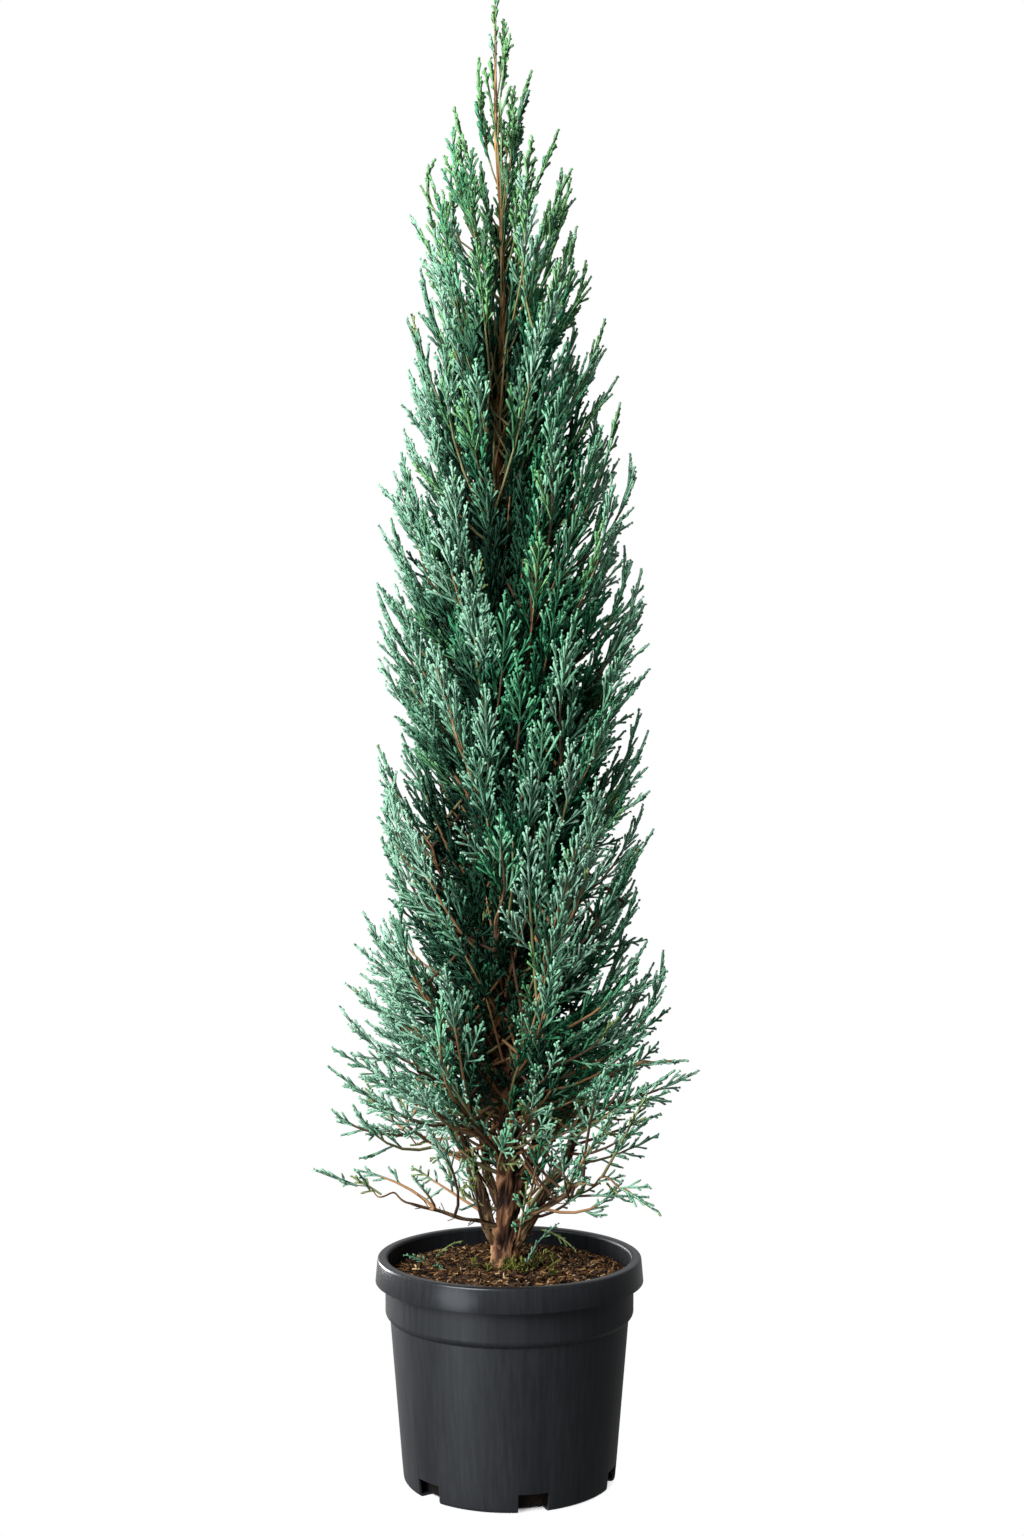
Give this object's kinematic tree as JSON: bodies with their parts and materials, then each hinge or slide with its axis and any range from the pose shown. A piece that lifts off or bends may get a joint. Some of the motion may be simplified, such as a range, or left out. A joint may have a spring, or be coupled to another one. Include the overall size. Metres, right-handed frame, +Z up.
{
  "type": "columnar juniper in a nursery pot",
  "caption": "Narrow upright juniper with blue-green scale-leaf sprays on ascending plumes, a fibrous brown trunk and low boughs, standing in a black tapered nursery pot filled with bark mix.",
  "frame": {"origin": "middle of the pot's flat underside, on the floor", "axes": "+Z up along the trunk, +X to the right of the plant seen from its front, +Y to its back"},
  "size_m": [0.3873, 0.3618, 1.582],
  "materials": {
    "pot": "satin black moulded plastic",
    "soil": "loose dark bark mix",
    "bark": "rough fibrous bark",
    "foliage": "matt waxy scale leaves"
  },
  "bodies": {
    "root": {"bough_back_left": "bark", "bough_back_middle": "bark", "bough_back_right": "bark", "bough_fork_right": "bark", "bough_left_front": "bark", "bough_left_inner": "bark", "bough_left_low": "bark", "bough_left_main": "bark", "bough_right_inner": "bark", "bough_right_low": "bark", "bough_right_outer": "bark", "plume_01": "foliage", "plume_02": "foliage", "plume_03": "foliage", "plume_04": "foliage", "plume_05": "foliage", "plume_06": "foliage", "plume_07": "foliage", "plume_08": "foliage", "plume_09": "foliage", "plume_10": "foliage", "plume_11": "foliage", "plume_12": "foliage", "plume_13": "foliage", "plume_14": "foliage", "plume_15": "foliage", "plume_16": "foliage", "plume_17": "foliage", "plume_18": "foliage", "plume_19": "foliage", "plume_20": "foliage", "plume_21": "foliage", "plume_22": "foliage", "plume_23": "foliage", "plume_24": "foliage", "plume_25": "foliage", "plume_26": "foliage", "plume_back_left": "foliage", "plume_back_middle": "foliage", "plume_back_right": "foliage", "plume_fork_right": "foliage", "plume_leader": "foliage", "plume_left_front": "foliage", "plume_left_inner": "foliage", "plume_left_low": "foliage", "plume_left_main": "foliage", "plume_right_inner": "foliage", "plume_right_low": "foliage", "plume_right_outer": "foliage", "pot": "pot", "soil": "soil", "trunk": "bark"}
  },
  "joints": []
}
